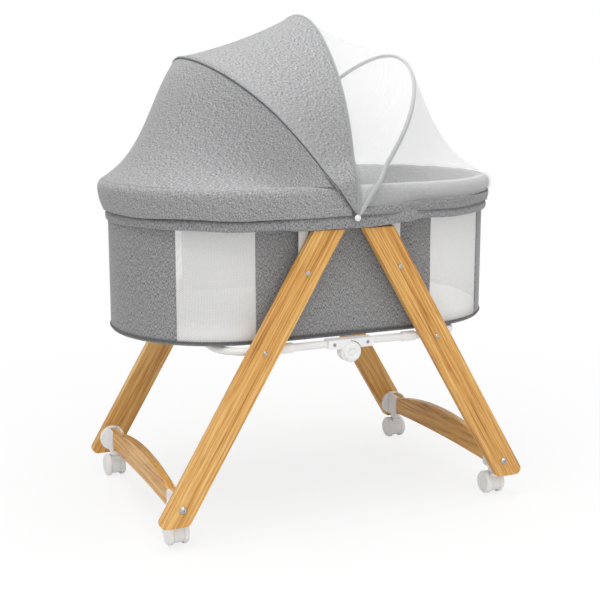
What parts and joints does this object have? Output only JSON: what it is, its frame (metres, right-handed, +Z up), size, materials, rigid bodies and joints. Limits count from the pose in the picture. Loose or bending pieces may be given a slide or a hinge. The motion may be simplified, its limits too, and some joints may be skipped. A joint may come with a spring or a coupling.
{
  "type": "bassinet on stand",
  "caption": "Oval cloth bassinet with a folding hood and insect net over mesh-sided walls, on a folding oak A-frame stand with swivel casters.",
  "frame": {"origin": "on the floor under the middle of the basket", "axes": "+Z up, +X along the basket away from the hood, +Y towards the rear legs"},
  "size_m": [0.8828, 0.5712, 1.0483],
  "materials": {
    "oak": "clear satin lacquer over straight oak grain",
    "white_steel": "white powder coat",
    "white_plastic": "fine moulded satin",
    "white_wheel": "moulded satin with a soft tread",
    "zinc_steel": "bright zinc plate",
    "dark_steel": "dull spring steel",
    "grey_cloth": "heather melange plain weave",
    "grey_binding": "ribbed binding tape",
    "white_mesh": "sheer hexagonal mesh",
    "base_cloth": "plain woven lining",
    "board": "raw fibre board",
    "white_cotton": "soft woven cover"
  },
  "bodies": {
    "basket": {"rim_tube": "white_steel", "leg_hangers": "white_steel", "leg_pivot_bolts": "zinc_steel", "rim_padding": "grey_cloth", "rim_valance": "grey_cloth", "hood_skirt": "grey_cloth", "window_front_left": "white_mesh", "window_rear_left": "white_mesh", "window_front_right": "white_mesh", "window_rear_right": "white_mesh", "end_panel_left": "grey_cloth", "end_panel_right": "grey_cloth", "centre_panel_front": "grey_cloth", "centre_panel_rear": "grey_cloth", "hem_piping": "grey_binding", "base_tray": "base_cloth", "base_board": "board", "mattress": "white_cotton", "hood_pivots": "white_plastic", "hood_rear_panel": "grey_cloth"},
    "hood_mid": {"hood_mid_bow": "dark_steel", "hood_mid_sleeve": "grey_binding", "hood_front_panel": "grey_cloth"},
    "hood_front": {"hood_front_bow": "dark_steel", "hood_front_binding": "grey_binding", "net_front_panel": "white_mesh"},
    "net": {"net_bow": "dark_steel", "net_binding": "grey_binding", "net_end_panel": "white_mesh", "net_hem": "grey_cloth"},
    "hub": {"hub_pins": "white_plastic"},
    "leg_frame_left": {"leg_front_left": "oak", "leg_rear_left": "oak", "leg_brackets_left": "white_plastic", "foot_bolts_left": "zinc_steel", "rail_screws_left": "zinc_steel", "stretcher_left": "oak"},
    "base_rail_left": {"rail_left": "white_steel", "rail_collars_left": "white_plastic", "hub_half_left": "white_plastic", "hub_screws_left": "dark_steel"},
    "swivel_front_left": {"caster_front_left": "white_plastic"},
    "wheels_front_left": {"caster_wheels_front_left": "white_wheel"},
    "swivel_rear_left": {"caster_rear_left": "white_plastic"},
    "wheels_rear_left": {"caster_wheels_rear_left": "white_wheel"},
    "leg_frame_right": {"leg_front_right": "oak", "leg_rear_right": "oak", "leg_brackets_right": "white_plastic", "foot_bolts_right": "zinc_steel", "rail_screws_right": "zinc_steel", "stretcher_right": "oak"},
    "base_rail_right": {"rail_right": "white_steel", "rail_collars_right": "white_plastic", "hub_half_right": "white_plastic", "hub_screws_right": "dark_steel"},
    "swivel_front_right": {"caster_front_right": "white_plastic"},
    "wheels_front_right": {"caster_wheels_front_right": "white_wheel"},
    "swivel_rear_right": {"caster_rear_right": "white_plastic"},
    "wheels_rear_right": {"caster_wheels_rear_right": "white_wheel"}
  },
  "joints": [
    {"name": "leg_fold", "type": "hinge", "parent": "basket", "child": "leg_frame_left", "pos_m": [-0.1038, 0, 0.54], "axis": [0, -1, 0], "range_deg": [0, 24]},
    {"name": "leg_fold_right", "type": "hinge", "parent": "basket", "child": "leg_frame_right", "pos_m": [0.1038, 0, 0.54], "axis": [0, 1, 0], "range_deg": [0, 24]},
    {"name": "hub_lift", "type": "slide", "parent": "basket", "child": "hub", "axis": [0, 0, 1], "range_m": [0, 0.14529]},
    {"name": "rail_fold_left", "type": "hinge", "parent": "hub", "child": "base_rail_left", "pos_m": [0, 0, 0.3675], "axis": [0, -1, 0], "range_deg": [0, 55.77]},
    {"name": "rail_fold_right", "type": "hinge", "parent": "hub", "child": "base_rail_right", "pos_m": [0, 0, 0.3675], "axis": [0, 1, 0], "range_deg": [0, 55.77]},
    {"name": "hood_fold", "type": "hinge", "parent": "basket", "child": "hood_mid", "pos_m": [0, 0, 0.646], "axis": [0, 1, 0], "range_deg": [-22.8, 0], "deforming": ["hood_rear_panel", "hood_front_panel", "net_front_panel", "net_end_panel", "net_hem"]},
    {"name": "hood_front_fold", "type": "hinge", "parent": "hood_mid", "child": "hood_front", "pos_m": [0, 0, 0.646], "axis": [0, 1, 0], "range_deg": [-23.2, 0]},
    {"name": "net_fold", "type": "hinge", "parent": "hood_front", "child": "net", "pos_m": [0, 0, 0.646], "axis": [0, 1, 0], "range_deg": [-22, 0]},
    {"name": "swivel_front_left", "type": "hinge", "parent": "leg_frame_left", "child": "swivel_front_left", "pos_m": [-0.37166, -0.23, 0.05], "axis": [0, 0, 1], "continuous": true},
    {"name": "roll_front_left", "type": "hinge", "parent": "swivel_front_left", "child": "wheels_front_left", "pos_m": [-0.37166, -0.222, 0.025], "axis": [1, 0, 0], "continuous": true},
    {"name": "swivel_rear_left", "type": "hinge", "parent": "leg_frame_left", "child": "swivel_rear_left", "pos_m": [-0.37166, 0.23, 0.05], "axis": [0, 0, 1], "continuous": true},
    {"name": "roll_rear_left", "type": "hinge", "parent": "swivel_rear_left", "child": "wheels_rear_left", "pos_m": [-0.37166, 0.238, 0.025], "axis": [1, 0, 0], "continuous": true},
    {"name": "swivel_front_right", "type": "hinge", "parent": "leg_frame_right", "child": "swivel_front_right", "pos_m": [0.37166, -0.23, 0.05], "axis": [0, 0, 1], "continuous": true},
    {"name": "roll_front_right", "type": "hinge", "parent": "swivel_front_right", "child": "wheels_front_right", "pos_m": [0.37166, -0.222, 0.025], "axis": [1, 0, 0], "continuous": true},
    {"name": "swivel_rear_right", "type": "hinge", "parent": "leg_frame_right", "child": "swivel_rear_right", "pos_m": [0.37166, 0.23, 0.05], "axis": [0, 0, 1], "continuous": true},
    {"name": "roll_rear_right", "type": "hinge", "parent": "swivel_rear_right", "child": "wheels_rear_right", "pos_m": [0.37166, 0.238, 0.025], "axis": [1, 0, 0], "continuous": true}
  ],
  "couplings": [
    {"joint": "leg_fold_right", "follows": "leg_fold", "ratio": 1},
    {"joint": "hub_lift", "follows": "leg_fold", "m_per_rad": 0.34685},
    {"joint": "rail_fold_left", "follows": "leg_fold", "ratio": 2.3237},
    {"joint": "rail_fold_right", "follows": "leg_fold", "ratio": 2.3237},
    {"joint": "hood_front_fold", "follows": "hood_fold", "ratio": 1.0175},
    {"joint": "net_fold", "follows": "hood_fold", "ratio": 0.9649}
  ]
}
